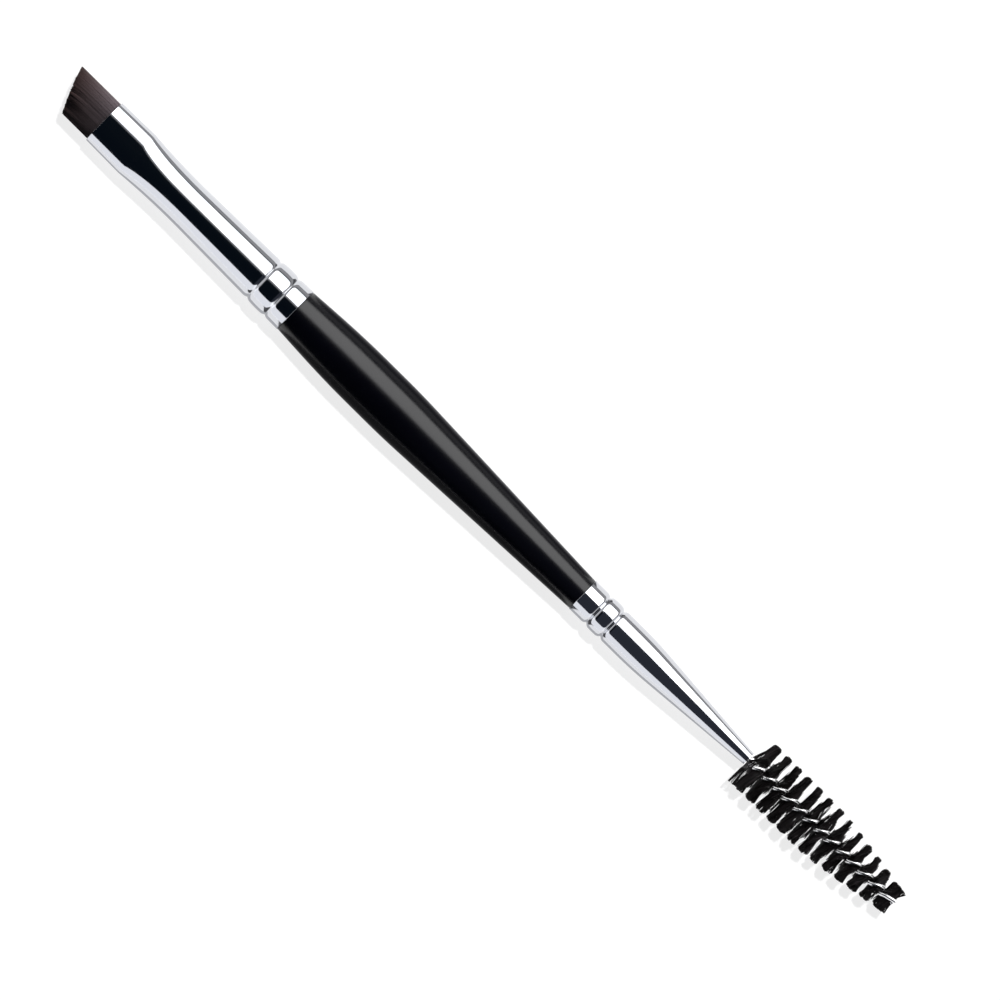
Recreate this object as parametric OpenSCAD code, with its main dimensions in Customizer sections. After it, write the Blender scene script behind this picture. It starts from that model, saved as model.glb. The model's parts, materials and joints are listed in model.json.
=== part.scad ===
// Double-ended eyebrow brush: an angled flat tuft at one end, a twisted-wire spoolie at the other.
// It lies along X with the tuft towards -X. The toe of the slanted edge is on the +Y side, and its
// widest part touches the ground plane.

/* [Tuft] */
// Reach of the tuft past the ferrule's mouth on its long side
toe_l = 7.8; // [6.5:0.1:12]
// Reach of the tuft past the mouth on its short side
heel_l = 5.1; // [3:0.1:6]
// How far the cut edge bows out from a straight line
edge_bow = 0.2; // [0:0.05:0.6]
// Radius of the heel corner
heel_r = 0.2; // [0.1:0.05:1]
// Thickness of the tuft at its cut edge
edge_t = 1.8; // [1:0.1:2.6]
// Length of the tuft held inside the ferrule
root_l = 8; // [7:0.5:10]
// Number of locks across one face of the tuft
lock_count = 11; // [7:1:15]
// Depth of the furrows between the locks
lock_d = 0.09; // [0:0.01:0.15]

/* [Brush ferrule] */
// Length of the ferrule from its mouth to the handle
ferrule_l = 38; // [34:0.5:46]
// Width of the flattened mouth
mouth_w = 7.3; // [6.8:0.1:8]
// Thickness of the flattened mouth
mouth_t = 4.15; // [3.6:0.05:4.6]
// Diameter of the tube at its mouth end, before it is flattened
tube_d = 6.2; // [6:0.05:6.5]
// Half length of the straight stretch across the mouth
mouth_flat = 0.9; // [0.5:0.1:1.4]
// Length of the fully flattened stretch
flat_l = 6.5; // [5:0.5:8]
// Distance from the mouth at which the tube is round again
nose_l = 18; // [14:0.5:20]
// Outer diameter of the collar at the handle
collar_d = 7.4; // [7:0.05:7.8]
// Length of the collar
collar_l = 2.1; // [1.8:0.1:4]
// Length of the bead between the two crimp grooves
bead_l = 2.2; // [1.5:0.1:4]
// Height of the bead over the tube
bead_h = 0.1; // [0.05:0.01:0.2]
// Depth of its two crimp grooves
groove_d = 0.24; // [0.1:0.01:0.35]

/* [Handle] */
// Length of the handle between the ferrules
handle_l = 57; // [50:1:70]
// Diameter of the belly
belly_d = 8.35; // [8:0.05:9]
// Length over which the handle swells from the brush ferrule to the belly
swell_l = 14; // [11:0.5:17]
// Length of the cylindrical belly
belly_l = 4; // [3:0.5:6]
// Length over which the belly runs into the straight taper
fair_l = 6; // [4:0.5:9]
// Length of the tenon in the brush ferrule
front_tenon_l = 14; // [9:0.5:18]
// Length of the tenon in the spoolie ferrule
rear_tenon_l = 9; // [7:0.5:9.5]
// How far the handle's ends lie below the collars
joint_step = 0.1; // [0.02:0.01:0.15]
// Bevel on the ends of the tenons
tenon_bevel = 0.5; // [0.2:0.1:0.8]

/* [Spoolie ferrule] */
// Length of the spoolie ferrule
stem_ferrule_l = 33; // [31:0.5:42]
// Diameter of its straight part
stem_ferrule_d = 5.5; // [5:0.05:5.8]
// Length of its collar
stem_collar_l = 2.5; // [2:0.1:4]
// Length of its bead
stem_bead_l = 1.5; // [1:0.1:3]
// Height of its bead
stem_bead_h = 0.1; // [0.02:0.01:0.16]
// Depth of its two crimp grooves
stem_groove_d = 0.34; // [0.1:0.01:0.4]
// Length of the straight part, measured from the handle
straight_l = 9.3; // [9:0.1:11]
// Length over which the straight part runs into the taper
bend_l = 6; // [3:0.5:8]

/* [Sheet and fits] */
// Wall of both ferrules
wall = 0.25; // [0.2:0.01:0.35]
// Width of a crimp groove over its rounded shoulders
groove_w = 1.3; // [0.8:0.05:1.4]
// Radius of the ferrules' rolled edges at the handle
rim_r = 0.1; // [0.05:0.01:0.12]
// Clearance of the tenons, the tuft and the glue in the ferrules
fit_gap = 0.03; // [0.02:0.005:0.06]
// Clearance of the twisted stem in the tip of its ferrule
stem_gap = 0.04; // [0.02:0.01:0.08]
// Length of the glue behind the tuft
tuft_glue_l = 7; // [4:0.5:9]
// Distance of the glue from the tip of the spoolie ferrule
stem_glue_in = 1.6; // [1.5:0.1:4]
// Thickness of the glue behind the bend of the wire
stem_glue_end = 1.5; // [0.5:0.1:2]

/* [Spoolie] */
// Length of the spoolie past its ferrule
spoolie_l = 29.2; // [24:0.2:36]
// Greatest diameter over the bristles
spoolie_d = 8.54; // [8.4:0.02:10]
// Diameter over the last bristles
spoolie_tip_d = 4.1; // [3:0.1:6]
// Length of the spoolie that keeps the greatest diameter
spoolie_even_l = 14; // [8:0.5:18]
// Diameter of the wire
wire_d = 0.7; // [0.6:0.02:0.8]
// Thickness of the layer of bristles gripped between the strands
grip_t = 0.12; // [0.1:0.01:0.16]
// Advance of one turn of the twist at the ferrule
base_pitch = 4.08; // [3.8:0.02:4.6]
// Advance of one turn of the twist at the tip
tip_pitch = 4.4; // [3.8:0.02:4.8]
// Turn direction of the twist
hand = -1; // [-1:Left hand, 1:Right hand]
// Length of the twisted stem inside the ferrule
stem_l = 14; // [10:0.5:14]
// Length over which the strands run straight into their bend
unwind_l = 2; // [1:0.5:3]
// Distance from the ferrule to the middle of the first bristles
first_bristle = 1.2; // [1:0.1:2]
// Distance from the ferrule at which the bristles first point sideways
first_side = 2; // [1.5:0.1:2.5]
// Width of a row of bristles at its tips, along the stem
row_w = 1.1; // [0.8:0.05:1.4]
// How unevenly the bristles are cut
jag = 0.35; // [0:0.05:0.5]
// How far the wire's cut ends lie behind the last bristles
wire_back = 0.3; // [0.2:0.05:0.6]

/* [Hidden] */
$fn = 96;

// Stations along the brush, and the height of its axis over the ground
total_l = toe_l + ferrule_l + handle_l + stem_ferrule_l + spoolie_l;
mouth_x = toe_l - total_l / 2;
front_x = mouth_x + ferrule_l;
rear_x = front_x + handle_l;
tip_x = rear_x + stem_ferrule_l;
axis_h = max(spoolie_d, belly_d) / 2;

// Strands, their centre line and the hole they pass through
wire_r = wire_d / 2;
strand_r = wire_r + grip_t / 2;
stem_bore_r = strand_r + wire_r + stem_gap;
stem_tip_r = stem_bore_r + wall;

// The lofted nose laps over the round tube by this much, and stands proud so that its flats clear it
nose_lap = 0.3;
nose_proud = 0.02;

// Facets of the lofted and swept solids
nose_sides = 40;
nose_steps = 8;
wire_sides = 8;
wire_steps = 14;
bend_steps = 8;
row_steps = 36;
curve_steps = 12;

// How far a cut runs past a face, and a tenon into the core
over = 1;

function steps(from, to, n) = [for (i = [0:n]) from + (to - from) * i / n];
function mix(a, b, t) = a + (b - a) * t;
function unit(v) = v / norm(v);

// Points of a curve from a to c that leaves and arrives in the direction of b
function bend_curve(a, b, c, n) =
    [for (t = steps(0, 1, n)) (1 - t) * (1 - t) * a + 2 * t * (1 - t) * b + t * t * c];

// Dip of one crimp groove, and rise of the bead between two grooves, at u from the handle
function dip(u, centre, depth) = depth * pow(max(0, 1 - 2 * abs(u - centre) / groove_w), 2);
function arch(u, from, to, height) =
    u > from && u < to ? 4 * height * (u - from) * (to - u) / pow(to - from, 2) : 0;
function crimp(u, collar, bead, height, depth) =
    let (first = collar + groove_w / 2, second = first + bead + groove_w)
    arch(u, first, second, height) - dip(u, first, depth) - dip(u, second, depth);
function crimp_stations(collar, bead) = concat(
    [0, rim_r],
    steps(collar, collar + groove_w, 8),
    steps(collar + groove_w * 1.1, collar + groove_w * 0.9 + bead, 4),
    steps(collar + groove_w + bead, collar + 2 * groove_w + bead, 8));

// Drop in radius at u along a form that is straight to start, bends over length and then tapers
function eased_drop(u, start, length, slope) =
    u <= start ? 0
    : u < start + length ? slope * (u - start) * (u - start) / (2 * length)
    : slope * (u - start - length / 2);

// Outer radius of the brush ferrule's tube, and of the spoolie ferrule, at u from the handle
function tube_r(u) = mix(collar_d, tube_d, u / ferrule_l) / 2;
function brush_ferrule_r(u) = tube_r(u) + crimp(u, collar_l, bead_l, bead_h, groove_d);
stem_slope = (stem_ferrule_d / 2 - stem_tip_r) / (stem_ferrule_l - straight_l - bend_l / 2);
function stem_ferrule_r(u) =
    stem_ferrule_d / 2 - eased_drop(u, straight_l, bend_l, stem_slope)
    + crimp(u, stem_collar_l, stem_bead_l, stem_bead_h, stem_groove_d);

brush_stations = concat(crimp_stations(collar_l, bead_l), [ferrule_l - nose_l]);
stem_stations = concat(
    crimp_stations(stem_collar_l, stem_bead_l),
    steps(straight_l, straight_l + bend_l, curve_steps),
    [stem_ferrule_l]);

function brush_line(inset) = [for (u = brush_stations) [brush_ferrule_r(u) - inset, u]];
function stem_line(inset) = [for (u = stem_stations) [stem_ferrule_r(u) - inset, u]];

// The stretch of a line of [radius, station] pairs between two stations
function line_between(line, from, to) = [for (p = line) if (p[1] > from && p[1] < to) p];

// How far the nose is pressed flat at x from the mouth: it narrows slowly and rounds out fast
function narrowing(x) =
    x < flat_l ? 1 : x > nose_l ? 0 : pow(1 - (x - flat_l) / (nose_l - flat_l), 2);
function rounding(x) = pow(narrowing(x), 2);
function nose_r(x) = tube_r(ferrule_l - x) + nose_proud;
function nose_half_w(x) = nose_r(x) + narrowing(x) * (mouth_w / 2 - nose_r(0));
function nose_half_t(x) = nose_r(x) - rounding(x) * (nose_r(0) - mouth_t / 2);
nose_stations = concat(
    [0],
    [for (t = steps(0, 1, nose_steps)) mix(flat_l, nose_l, t * t)],
    [nose_l + nose_lap]);
function nose_between(from, to) = concat([from], [for (x = nose_stations) if (x > from && x < to) x], [to]);

// Section at x from the mouth, with furrows between the locks where it is a tuft's
function section(x, half_w, half_t, flat, n, furrow = 0) =
    [for (j = [0:n - 1])
        let (a = -360 * j / n,
            lock = furrow * (1 - cos(2 * lock_count * a)) / 2,
            side = abs(cos(a)) < 0.001 ? 0 : sign(cos(a)))
        [x, side * flat + (half_w - flat) * cos(a), (half_t - lock) * sin(a)]];
function nose_section(x, inset, n = nose_sides, furrow = 0) =
    section(x, nose_half_w(x) - inset, nose_half_t(x) - inset, rounding(x) * mouth_flat, n, furrow);

// Twist of the strands in turns at s from the ferrule's tip, and the direction of the bristles
function even_turns(s) = s / (base_pitch + (tip_pitch - base_pitch) * s / (2 * spoolie_l));
function turns(s) =
    let (e = s + stem_l)
    e >= unwind_l ? even_turns(s)
    : even_turns(unwind_l - stem_l) - (unwind_l * unwind_l - e * e) / (2 * unwind_l * base_pitch);
function bristle_angle(s) = hand * 360 * (turns(s) - turns(first_side));
function across(angle) = [0, cos(angle), sin(angle)];

// Reach of the bristles at s, and half the width of their row
function spoolie_r(s) =
    let (t = max(0, (s - spoolie_even_l) / (spoolie_l - spoolie_even_l)))
    mix(spoolie_d, spoolie_tip_d, pow(t, 1.25)) / 2;
function half_row(r) = row_w * r / spoolie_d;

// Closed solid through rings that have the same even number of points
module skin(rings) {
    n = len(rings[0]);
    last = (len(rings) - 1) * n;
    sides = [for (i = [0:len(rings) - 2], j = [0:n - 1])
        let (a = i * n + j, b = i * n + (j + 1) % n)
        each [[a, b, b + n], [a, b + n, a + n]]];
    cap = concat(
        [for (j = [0:n / 2 - 2]) [j, j + 1, n - j - 1]],
        [for (j = [1:n / 2 - 1]) [j, n - j - 1, n - j]]);
    first_cap = [for (f = cap) [f[2], f[1], f[0]]];
    last_cap = [for (f = cap) [f[0] + last, f[1] + last, f[2] + last]];
    polyhedron(points = [for (ring = rings) each ring], faces = concat(sides, first_cap, last_cap));
}

// Solid turned about the brush's axis from [radius, station] pairs, stations running in direction dir
module turned(x, dir, line) {
    translate([x, 0, 0])
        rotate([0, dir * 90, 0])
            rotate_extrude()
                polygon(line);
}

// Pairs closed on the axis
function closed(line) = concat([[0, line[0][1]]], line, [[0, line[len(line) - 1][1]]]);

// Outer form of the brush ferrule drawn in by inset, its ends carried past by extra
module brush_ferrule_form(inset, extra) {
    line = brush_line(inset);
    last = line[len(line) - 1];
    turned(front_x, -1, closed(concat([[line[0][0], -extra]], line)));
    translate([mouth_x, 0, 0])
        skin([for (x = concat(extra > 0 ? [-extra] : [], nose_stations)) nose_section(x, inset)]);
}

// Tenon that fits the ferrule line given, up to its length
function tenon(line, length) =
    let (inner = line_between(line, rim_r, length - tenon_bevel),
        r = lookup(length, [for (p = line) [p[1], p[0]]]))
    concat(inner, [[r, length - tenon_bevel], [r - tenon_bevel, length]]);

handle_slope = (belly_d - (stem_ferrule_d - 2 * joint_step))
    / (2 * (handle_l - swell_l - belly_l - fair_l / 2));
function handle_r(u) =
    u < swell_l
    ? mix(collar_d / 2 - joint_step, belly_d / 2, sin(90 * u / swell_l))
    : belly_d / 2 - eased_drop(u, swell_l + belly_l, fair_l, handle_slope);

// The core between the ferrules
function handle_line() = [for (u = concat(
    steps(0, swell_l, curve_steps),
    steps(swell_l + belly_l, swell_l + belly_l + fair_l, curve_steps),
    [handle_l])) [handle_r(u), u]];

module handle() {
    front = tenon(brush_line(wall + fit_gap), front_tenon_l);
    rear = tenon(stem_line(wall + fit_gap), rear_tenon_l);
    color("#0b0b0e")
        union() {
            turned(front_x, 1, closed(handle_line()));
            turned(front_x, -1, closed(concat([[front[0][0], -over]], front)));
            turned(rear_x, 1, closed(concat([[rear[0][0], -over]], rear)));
        }
}

module brush_ferrule() {
    color("silver")
        difference() {
            union() {
                line = brush_line(0);
                turned(front_x, -1, closed(concat([[line[0][0] - rim_r, 0]], line_between(line, 0, ferrule_l))));
                translate([mouth_x, 0, 0])
                    skin([for (x = nose_stations) nose_section(x, 0)]);
            }
            brush_ferrule_form(wall, over);
        }
}

// Outline of the cut tuft seen from above, from the back of its root to the edge
function tuft_outline(half_w) =
    let (toe = [-toe_l, half_w],
        heel = [-heel_l, -half_w],
        edge = bend_curve(toe, [-(toe_l + heel_l) / 2 - 2 * edge_bow, 0], heel, curve_steps),
        side = 2 * mouth_w)
    concat(
        [[root_l + over, side], [-toe_l, side], toe],
        [for (i = [1:curve_steps - 2]) edge[i]],
        bend_curve(edge[curve_steps - 1], heel, heel + [heel_r, 0], 4),
        [[over - heel_l, -side], [root_l + over, -side]]);

module bristle_tuft() {
    inset = wall + fit_gap;
    half_w = nose_half_w(0) - inset;
    half_t = nose_half_t(0) - inset;
    n = 8 * lock_count;
    tip_t = mix(half_t, edge_t / 2, (toe_l + over) / toe_l);
    tip = [section(-toe_l - over, half_w, tip_t, mouth_flat, n, lock_d)];
    root = [for (x = nose_between(0, root_l)) nose_section(x, inset, n, lock_d)];
    color("#3c3234")
        translate([mouth_x, 0, 0])
            intersection() {
                skin(concat(tip, root));
                translate([0, 0, -mouth_t])
                    linear_extrude(2 * mouth_t)
                        polygon(tuft_outline(half_w));
            }
}

module tuft_glue_plug() {
    inset = wall + fit_gap;
    color("#c9a45a")
        translate([mouth_x, 0, 0])
            skin([for (x = nose_between(root_l, root_l + tuft_glue_l)) nose_section(x, inset)]);
}

module spoolie_ferrule() {
    outer = stem_line(0);
    inner = stem_line(wall);
    color("silver")
        difference() {
            turned(rear_x, 1, closed(concat([[outer[0][0] - rim_r, 0]], line_between(outer, 0, 2 * stem_ferrule_l))));
            turned(rear_x, 1, closed(concat(
                [[inner[0][0], -over]], inner, [[stem_bore_r, stem_ferrule_l + over]])));
        }
}

// Solid of the glue round the stem, with a blind hole that the twisted wire lies in
module spoolie_glue_plug() {
    front = stem_ferrule_l - stem_glue_in;
    hole = stem_ferrule_l - stem_l - strand_r - wire_r - stem_gap;
    back = hole - stem_glue_end;
    line = [for (u = steps(back, front, curve_steps)) [stem_ferrule_r(u) - wall - fit_gap, u]];
    color("#c9a45a")
        difference() {
            turned(rear_x, 1, closed(line));
            turned(rear_x, 1, closed([[stem_bore_r, hole], [stem_bore_r, front + over]]));
        }
}

// One wire: out along the first strand, round the bend inside the ferrule and back along the second
module twisted_wire() {
    end = spoolie_l - wire_back;
    count = ceil((end + stem_l) / base_pitch * wire_steps);
    strand = [for (s = steps(end, -stem_l, count))
        let (out = across(bristle_angle(s) + 90)) [[s, 0, 0] + strand_r * out, out]];
    back = [for (i = [count:-1:0])
        let (p = strand[i]) [[p[0][0], -p[0][1], -p[0][2]], -p[1]]];
    side = across(bristle_angle(-stem_l) + 90);
    bend = [for (i = [1:bend_steps - 1])
        let (a = 180 * i / bend_steps, out = [-sin(a), 0, 0] + cos(a) * side)
        [[-stem_l, 0, 0] + strand_r * out, out]];
    path = concat(strand, bend, back);
    rings = [for (i = [0:len(path) - 1])
        let (ahead = unit(path[min(i + 1, len(path) - 1)][0] - path[max(i - 1, 0)][0]),
            out = unit(path[i][1] - (path[i][1] * ahead) * ahead),
            beside = cross(ahead, out))
        [for (k = [0:wire_sides - 1])
            let (a = -360 * k / wire_sides)
            path[i][0] + wire_r * (cos(a) * out + sin(a) * beside)]];
    color("gainsboro")
        translate([tip_x, 0, 0])
            skin(rings);
}

// The bristles are one layer through the middle of the twist, so both its edges wind out as rows
module spoolie_bristles() {
    last = spoolie_l - half_row(spoolie_tip_d / 2);
    count = ceil((last - first_bristle) / base_pitch * row_steps);
    cut = rands(0, jag, 6 * (count + 1), 7);
    grip = grip_t / 3;
    neck = strand_r + wire_r;
    rings = [for (i = [0:count])
        let (s = mix(first_bristle, last, i / count),
            along = across(bristle_angle(s)),
            up = across(bristle_angle(s) + 90),
            r = spoolie_r(s),
            lean = -hand * half_row(r),
            slim = -hand * half_row(neck))
        [for (p = [
            [-r + cut[6 * i], 0, 0],
            [-r + cut[6 * i + 1], grip, -lean],
            [-neck, grip, -slim],
            [neck, grip, slim],
            [r - cut[6 * i + 2], grip, lean],
            [r - cut[6 * i + 3], 0, 0],
            [r - cut[6 * i + 4], -grip, -lean],
            [neck, -grip, -slim],
            [-neck, -grip, slim],
            [-r + cut[6 * i + 5], -grip, lean]])
            [s + p[2], 0, 0] + p[0] * along + p[1] * up]];
    color("#101012")
        translate([tip_x, 0, 0])
            skin(rings);
}

module on_ground() {
    translate([0, 0, axis_h])
        children();
}

on_ground() handle();
on_ground() brush_ferrule();
on_ground() bristle_tuft();
on_ground() tuft_glue_plug();
on_ground() spoolie_ferrule();
on_ground() twisted_wire();
on_ground() spoolie_bristles();
on_ground() spoolie_glue_plug();
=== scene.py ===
"""Double-ended eyebrow brush: the finish of every piece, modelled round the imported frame."""

import json
import math

import bpy
import numpy as np
from bpy.props import FloatProperty, FloatVectorProperty, IntProperty, PointerProperty
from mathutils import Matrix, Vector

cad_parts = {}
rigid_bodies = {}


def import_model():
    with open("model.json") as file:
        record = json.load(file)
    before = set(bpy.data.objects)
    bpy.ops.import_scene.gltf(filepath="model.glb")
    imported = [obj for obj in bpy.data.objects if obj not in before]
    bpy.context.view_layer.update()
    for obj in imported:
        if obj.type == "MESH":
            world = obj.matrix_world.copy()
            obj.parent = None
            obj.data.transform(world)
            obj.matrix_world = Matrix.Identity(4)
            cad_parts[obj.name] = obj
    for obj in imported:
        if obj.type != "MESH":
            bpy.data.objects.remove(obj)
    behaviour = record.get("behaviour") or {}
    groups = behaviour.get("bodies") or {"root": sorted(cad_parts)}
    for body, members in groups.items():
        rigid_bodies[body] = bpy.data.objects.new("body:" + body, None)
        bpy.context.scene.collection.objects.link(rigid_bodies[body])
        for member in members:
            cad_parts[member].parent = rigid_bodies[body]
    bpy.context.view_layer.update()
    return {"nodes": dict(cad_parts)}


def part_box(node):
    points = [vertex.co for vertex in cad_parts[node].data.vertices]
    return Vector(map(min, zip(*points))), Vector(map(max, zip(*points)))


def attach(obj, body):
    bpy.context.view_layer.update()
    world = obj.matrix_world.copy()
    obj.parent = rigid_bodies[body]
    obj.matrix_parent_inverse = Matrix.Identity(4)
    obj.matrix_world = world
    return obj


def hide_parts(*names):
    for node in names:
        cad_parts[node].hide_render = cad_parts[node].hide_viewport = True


bl_info = {
    "name": "Double-Ended Eyebrow Brush",
    "version": (1, 0, 0),
    "blender": (4, 5, 0),
    "location": "3D View > Sidebar > Eyebrow Brush",
    "description": "Models the lacquered handle, plated ferrules, cut tuft and twisted-wire spoolie",
    "category": "Add Mesh",
}

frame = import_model()
MM = 0.001

# Stations along the brush, read from the frame
TOE_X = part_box("bristle_tuft")[0].x
ROOT_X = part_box("bristle_tuft")[1].x
MOUTH_X, FRONT_X = (corner.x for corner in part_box("brush_ferrule"))
REAR_X, TIP_X = (corner.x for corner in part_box("spoolie_ferrule"))
TENON_FRONT_X, TENON_REAR_X = (corner.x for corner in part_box("handle"))
WIRE_BACK_X, WIRE_END_X = (corner.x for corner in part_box("twisted_wire"))
SPOOLIE_END_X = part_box("spoolie_bristles")[1].x
AXIS_H = sum(corner.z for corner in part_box("handle")) / 2

# The spoolie is the widest piece and lies on the surface
SPOOLIE_D = AXIS_H * 2

# Turn direction of the twist: left-handed
HAND = -1

# Points closer than this are merged
WELD = 0.0005 * MM

# Smoothing angle of the filaments, bristles and wire, which have few sides, in degrees
STRAND_ANGLE = 60


def length(name, description, millimetres):
    """A size of the brush, kept in metres."""
    return FloatProperty(
        name=name, description=description, default=millimetres * MM, min=0, precision=5, unit="LENGTH")


def colour(name, description, value):
    """A linear colour of one finish."""
    return FloatVectorProperty(
        name=name, description=description, default=value, min=0, max=2, size=3, subtype="COLOR")


class BrushSizes(bpy.types.PropertyGroup):
    """Sizes that shape the brush between the frame's stations."""

    wall: length("Sheet", "Wall of both ferrules", 0.25)
    groove_w: length("Groove width", "Width of a crimp groove over its rounded shoulders", 1.3)
    groove_root: length("Groove root", "How softly a crimp groove turns at its bottom", 0.035)
    rim_r: length("Rim", "Radius of the ferrules' rolled edges", 0.1)
    lip_r: length("Lip", "Bevel of the ferrules' cut edges at the mouth and the tip", 0.005)
    fit_gap: length("Fit", "Clearance of what sits inside the ferrules", 0.03)

    mouth_w: length("Mouth width", "Width of the flattened mouth", 7.3)
    mouth_t: length("Mouth thickness", "Thickness of the flattened mouth", 4.15)
    tube_d: length("Tube", "Diameter of the tube at its mouth end, before it is flattened", 6.2)
    mouth_flat: length("Mouth flat", "Half length of the straight stretch across the mouth", 0.9)
    flat_l: length("Flat length", "Length of the fully flattened stretch", 6.5)
    nose_l: length("Nose length", "Distance from the mouth at which the tube is round again", 18)
    collar_d: length("Collar", "Diameter of the brush ferrule at the handle", 7.4)
    collar_l: length("Collar length", "Length of the brush ferrule's collar", 2.1)
    bead_l: length("Bead length", "Length of the brush ferrule's bead", 2.2)
    bead_h: length("Bead height", "Height of the brush ferrule's bead", 0.1)
    groove_d: length("Groove depth", "Depth of the brush ferrule's crimp grooves", 0.24)

    belly_d: length("Belly", "Diameter of the handle's belly", 8.35)
    swell_l: length("Swell", "Length over which the handle swells to its belly", 14)
    belly_l: length("Belly length", "Length of the cylindrical belly", 4)
    fair_l: length("Fairing", "Length over which the belly runs into the taper", 6)
    joint_step: length("Joint step", "How far the handle's ends lie below the collars", 0.1)
    lacquer_r: length("Lacquer edge", "Rounding of the lacquer at the handle's ends", 0.08)

    stem_d: length("Stem ferrule", "Diameter of the spoolie ferrule's straight part", 5.5)
    stem_collar_l: length("Stem collar", "Length of the spoolie ferrule's collar", 2.5)
    stem_bead_l: length("Stem bead", "Length of the spoolie ferrule's bead", 1.5)
    stem_bead_h: length("Stem bead height", "Height of the spoolie ferrule's bead", 0.1)
    stem_groove_d: length("Stem groove depth", "Depth of the spoolie ferrule's crimp grooves", 0.34)
    straight_l: length("Straight part", "Length of the spoolie ferrule before it bends in", 9.3)
    bend_l: length("Bend", "Length over which the straight part runs into the taper", 6)

    heel_l: length("Heel", "Reach of the tuft on its short side", 5.1)
    edge_bow: length("Edge bow", "How far the cut edge bows out", 0.2)
    edge_t: length("Edge thickness", "Thickness of the tuft at its cut edge", 1.8)
    filament_r: length("Tuft filament", "Radius of a tuft filament", 0.042)
    filament_count: IntProperty(
        name="Tuft filaments", description="Number of filaments in the tuft", default=3600, min=100,
        subtype="UNSIGNED")

    wire_d: length("Wire", "Diameter of the wire", 0.7)
    grip_t: length("Grip", "Layer of bristles gripped between the strands", 0.12)
    base_pitch: length("Base pitch", "Advance of one turn of the twist at the ferrule", 4.08)
    tip_pitch: length("Tip pitch", "Advance of one turn of the twist at the tip", 4.4)
    unwind_l: length("Unwind", "Length over which the strands run straight into their bend", 2)
    first_side: length("First side", "Distance at which the bristles first point sideways", 2)
    stem_gap: length("Stem clearance", "Clearance of the stem in its ferrule", 0.04)

    last_side: length("Last side", "Distance at which the bristles last point sideways", 27.2)
    spoolie_tip_d: length("Tip diameter", "Diameter over the last bristles", 4.1)
    even_l: length("Even length", "Length of the spoolie that keeps its greatest diameter", 14)
    row_w: length("Row width", "Width of a row of bristles at its tips", 1.4)
    gather: length("Gather", "How far the bristles beside a fin lean in towards its middle", 0.5)
    fan: length("Fan", "How far the first bristles lean away from the ferrule", 1.45)
    snap: FloatProperty(
        name="Snap", description="How strongly the rows bunch up sideways, in radians", default=0.3, min=0,
        max=0.5, unit="ROTATION")
    bristle_r: length("Bristle", "Radius of a bristle", 0.05)
    lock_pitch: length("Lock pitch", "Advance from one lock of bristles to the next", 0.08)
    bristles_per_lock: IntProperty(
        name="Bristles per lock", description="Bristles that cling together in one lock", default=10, min=1,
        subtype="UNSIGNED")


class BrushFinishes(bpy.types.PropertyGroup):
    """Colours of the brush and its stage."""

    lacquer: colour("Lacquer", "Black lacquer of the handle", (0.0004, 0.0004, 0.0014))
    plating: colour("Plating", "Bright plating of the ferrules", (0.67, 0.68, 0.715))
    filament_dark: colour("Dark filament", "Darkest filaments of the tuft", (0.006, 0.004, 0.0045))
    filament_light: colour("Light filament", "Lightest filaments, at the cut", (0.120, 0.076, 0.072))
    # The cool colour at the mouth is a painted sheen, not the filaments' own colour
    filament_cool_sheen: colour("Cool filament", "Lightest filaments, at the mouth", (0.155, 0.132, 0.148))
    nylon: colour("Nylon", "Black nylon of the spoolie", (0.004, 0.0034, 0.0036))
    wire: colour("Wire", "Bright wire of the spoolie", (0.86, 0.86, 0.87))
    glue: colour("Glue", "Cured glue inside the ferrules", (0.62, 0.44, 0.16))
    floor: colour("Floor", "Pale floor", (0.88, 0.88, 0.88))
    shown_floor: colour("Shown floor", "Floor under its glow, where it is seen", (0.24, 0.24, 0.24))
    studio: colour("Studio", "Dark walls of the studio", (0.0026, 0.0048, 0.0082))
    daylight: colour("Daylight", "Open ends of the studio", (0.6, 0.605, 0.62))


def sizes():
    """The brush's sizes."""
    return bpy.context.scene.eyebrow_brush_sizes


def finishes():
    """The brush's colours."""
    return bpy.context.scene.eyebrow_brush_finishes


# Forms of the profiles


def steps(start, stop, count):
    """Evenly spaced values from start to stop."""
    return [start + (stop - start) * i / count for i in range(count + 1)]


def mix(a, b, t):
    """The value between a and b at t."""
    return a + (b - a) * t


def dip(u, centre, depth):
    """Depth of a crimp groove at u."""
    s = sizes()
    reach = math.hypot(u - centre, s.groove_root)
    return depth * max(0, 1 - 2 * reach / s.groove_w) ** 2


def crimp(u, collar, bead, height, depth):
    """Rise of the crimped stretch over the plain tube at u from the handle."""
    groove_w = sizes().groove_w
    first = collar + groove_w / 2
    second = first + bead + groove_w
    t = (u - first) / (second - first)
    arch = 4 * height * t * (1 - t) if 0 < t < 1 else 0
    return arch - dip(u, first, depth) - dip(u, second, depth)


def groove_stations(start):
    """Where a groove that begins at start needs rings, closest at its bottom."""
    half = sizes().groove_w / 2
    flank = (1, 0.8, 0.62, 0.48, 0.36, 0.26, 0.17, 0.09, 0.04)
    return (
        [start + half * (1 - part) for part in flank]
        + [start + half]
        + [start + half * (1 + part) for part in reversed(flank)]
    )


def crimp_stations(collar, bead):
    """Where a crimped stretch needs rings."""
    groove_w = sizes().groove_w
    return (
        groove_stations(collar)
        + steps(collar + groove_w, collar + groove_w + bead, 10)[1:-1]
        + groove_stations(collar + groove_w + bead)
    )


def eased_drop(u, start, blend, slope):
    """Drop in radius along a form that is straight to start, bends over blend and then tapers."""
    if u <= start:
        return 0
    if u < start + blend:
        return slope * (u - start) ** 2 / (2 * blend)
    return slope * (u - start - blend / 2)


def tube_r(u):
    """Radius of the brush ferrule's plain tube at u from the handle."""
    s = sizes()
    return mix(s.collar_d, s.tube_d, u / (FRONT_X - MOUTH_X)) / 2


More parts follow.
